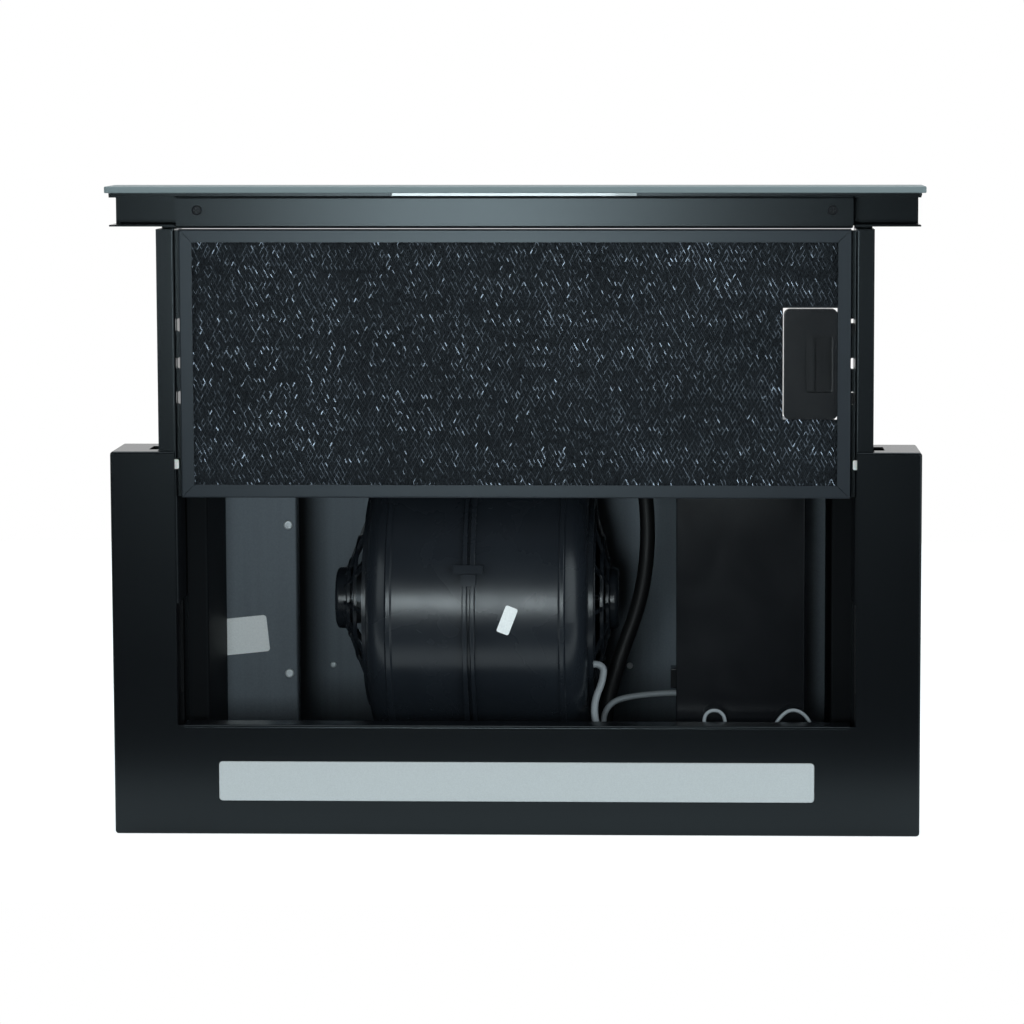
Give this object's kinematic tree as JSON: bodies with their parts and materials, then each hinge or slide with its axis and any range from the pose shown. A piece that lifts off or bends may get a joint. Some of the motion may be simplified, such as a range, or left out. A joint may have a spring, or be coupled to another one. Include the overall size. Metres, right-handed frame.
{
  "type": "telescopic cooker hood",
  "caption": "Built-in cooker hood with pull-out filter drawer, glass front edge, strip lamp, barrel blower and round outlet collar.",
  "frame": {"origin": "middle of the bottom face of the part's box, on the wall face it stands on", "axes": "+Z the way the drawer pulls out (kitchen front), -Y the underside that faces the hob, +Y the outlet side, +X to the right when the underside is viewed"},
  "size_m": [0.5984, 0.309, 0.479],
  "materials": {
    "black_coated_steel": "satin powder coat",
    "black_liner_steel": "matt powder coat",
    "grey_galvanised_steel": "galvanised sheet, faint spangle",
    "zinc_screw": "bright zinc",
    "blank_label": "matt paper film",
    "black_plastic": "fine moulded texture",
    "black_gloss_plastic": "satin moulding",
    "circuit_board": "solder mask",
    "capacitor_can": "plastic can",
    "white_nylon": "natural nylon",
    "lamp_diffuser": "opal acrylic",
    "lamp_housing": "white moulding",
    "rail_steel": "black phosphated",
    "shaft_steel": "ground",
    "dark_screw": "black zinc",
    "glass": "polished edge",
    "touch_lens": "clear grey acrylic",
    "filter_frame": "satin grey coat",
    "filter_mesh": "coated expanded aluminium",
    "motor_metal": "machined",
    "cable_grey": "smooth sheath",
    "cable_black": "woven sleeve"
  },
  "bodies": {
    "hood_body": {"tray_shell": "black_coated_steel", "motor_chamber": "grey_galvanised_steel", "side_liner_left": "black_liner_steel", "side_liner_right": "black_liner_steel", "mounting_plate_left": "grey_galvanised_steel", "mounting_plate_right": "grey_galvanised_steel", "case_screws": "zinc_screw", "plate_label": "blank_label", "electronics_box": "black_plastic", "electronics_cover": "black_plastic", "control_board": "circuit_board", "capacitor": "capacitor_can", "terminal_block": "black_plastic", "cable_socket": "black_plastic", "lamp_diffuser": "lamp_diffuser", "lamp_board": "lamp_housing", "lamp_housing": "lamp_housing", "lamp_driver": "black_plastic", "rail_bracket_left": "grey_galvanised_steel", "rail_bracket_right": "grey_galvanised_steel", "fixed_rail_left": "rail_steel", "fixed_rail_right": "rail_steel", "glide_left": "white_nylon", "glide_right": "white_nylon", "blower_half_left": "black_gloss_plastic", "blower_half_right": "black_gloss_plastic", "seam_clamp": "black_gloss_plastic", "inlet_grille_left": "black_gloss_plastic", "inlet_grille_right": "black_gloss_plastic", "fan_motor": "motor_metal", "blower_sticker": "blank_label", "panel_rivets": "zinc_screw", "outlet_collar": "black_plastic", "cable_gland": "black_plastic", "motor_cable": "cable_grey", "lamp_cable": "cable_grey", "lamp_lead": "cable_grey", "cable_sleeve": "cable_black"},
    "drawer": {"drawer_rail_left": "rail_steel", "drawer_rail_right": "rail_steel", "side_arm_left": "black_coated_steel", "side_arm_right": "black_coated_steel", "crossbar": "black_coated_steel", "end_bracket_left": "black_coated_steel", "end_bracket_right": "black_coated_steel", "front_plate": "black_coated_steel", "glass_front": "glass", "touch_module": "touch_lens", "crossbar_screws": "dark_screw"},
    "slide_left": {"middle_rail_left": "rail_steel"},
    "slide_right": {"middle_rail_right": "rail_steel"},
    "filter": {"filter_frame": "filter_frame", "filter_mesh": "filter_mesh", "latch_housing": "black_plastic"},
    "latch": {"latch_slider": "black_plastic"},
    "rotor": {"impeller": "black_plastic", "motor_shaft": "shaft_steel"},
    "flap_a": {"flap_left": "black_plastic"},
    "flap_b": {"flap_right": "black_plastic"}
  },
  "joints": [
    {"name": "drawer_slide", "type": "slide", "parent": "hood_body", "child": "drawer", "axis": [0, 0, 1], "range_m": [-0.164, 0]},
    {"name": "left_slide_middle", "type": "slide", "parent": "hood_body", "child": "slide_left", "axis": [0, 0, 1], "range_m": [-0.082, 0]},
    {"name": "right_slide_middle", "type": "slide", "parent": "hood_body", "child": "slide_right", "axis": [0, 0, 1], "range_m": [-0.082, 0]},
    {"name": "filter_swing", "type": "hinge", "parent": "drawer", "child": "filter", "pos_m": [-0.2439, -0.1504, 0.3495], "axis": [0, 0, -1], "range_deg": [0, 70]},
    {"name": "latch_slide", "type": "slide", "parent": "filter", "child": "latch", "axis": [-1, 0, 0], "range_m": [0, 0.006], "stiffness_N_per_m": 250, "springref_m": -0.002},
    {"name": "fan_spin", "type": "hinge", "parent": "hood_body", "child": "rotor", "pos_m": [-0.037, -0.0075, 0.153], "axis": [1, 0, 0], "continuous": true},
    {"name": "flap_left_hinge", "type": "hinge", "parent": "hood_body", "child": "flap_a", "pos_m": [-0.037, 0.1285, 0.153], "axis": [0, 0, -1], "range_deg": [0, 78]},
    {"name": "flap_right_hinge", "type": "hinge", "parent": "hood_body", "child": "flap_b", "pos_m": [-0.037, 0.1285, 0.153], "axis": [0, 0, 1], "range_deg": [0, 78]}
  ],
  "couplings": [
    {"joint": "left_slide_middle", "follows": "drawer_slide", "ratio": 0.5},
    {"joint": "right_slide_middle", "follows": "drawer_slide", "ratio": 0.5}
  ]
}
